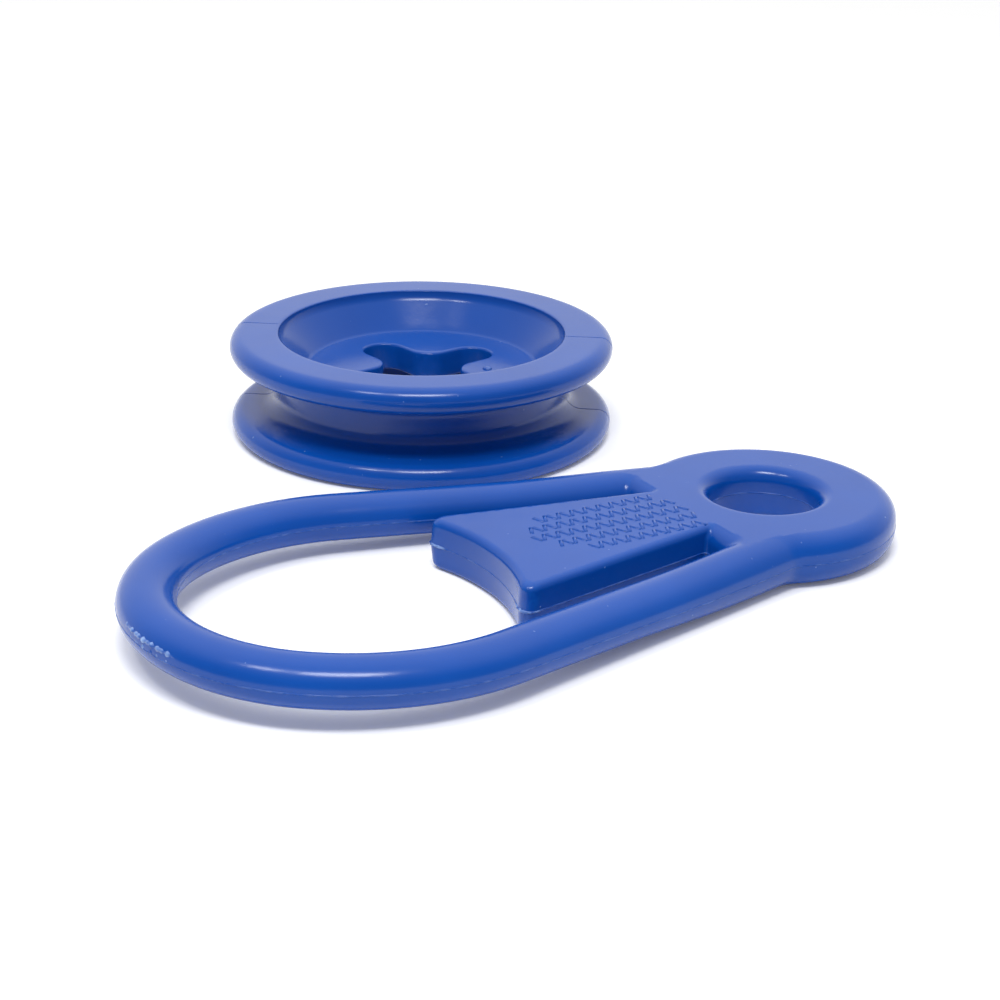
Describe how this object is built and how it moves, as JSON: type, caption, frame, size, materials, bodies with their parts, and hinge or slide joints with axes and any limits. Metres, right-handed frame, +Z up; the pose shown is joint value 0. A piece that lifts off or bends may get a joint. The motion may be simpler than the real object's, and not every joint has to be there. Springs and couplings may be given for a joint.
{
  "type": "tow rope ring link and spool",
  "caption": "Flat ring link with a tapered throat block between two slots and a round eye, and a separate grooved spool with a cross-shaped hole.",
  "frame": {"origin": "on the surface both pieces lie on, under the middle of the pair's bounding box", "axes": "+Z up off the surface; +X along the link from its large ring towards its eye; +Y from the link towards the spool"},
  "size_m": [0.1651, 0.1802, 0.0237],
  "materials": {
    "blue_plastic": "satin moulded plastic with a soft sheen"
  },
  "bodies": {
    "ring_link": {"ring_link": "blue_plastic"},
    "spool": {"spool": "blue_plastic"}
  },
  "joints": [
    {"name": "spool_lift", "type": "slide", "parent": "ring_link", "child": "spool", "axis": [0, 0, 1], "range_m": [0, 0.06]}
  ]
}
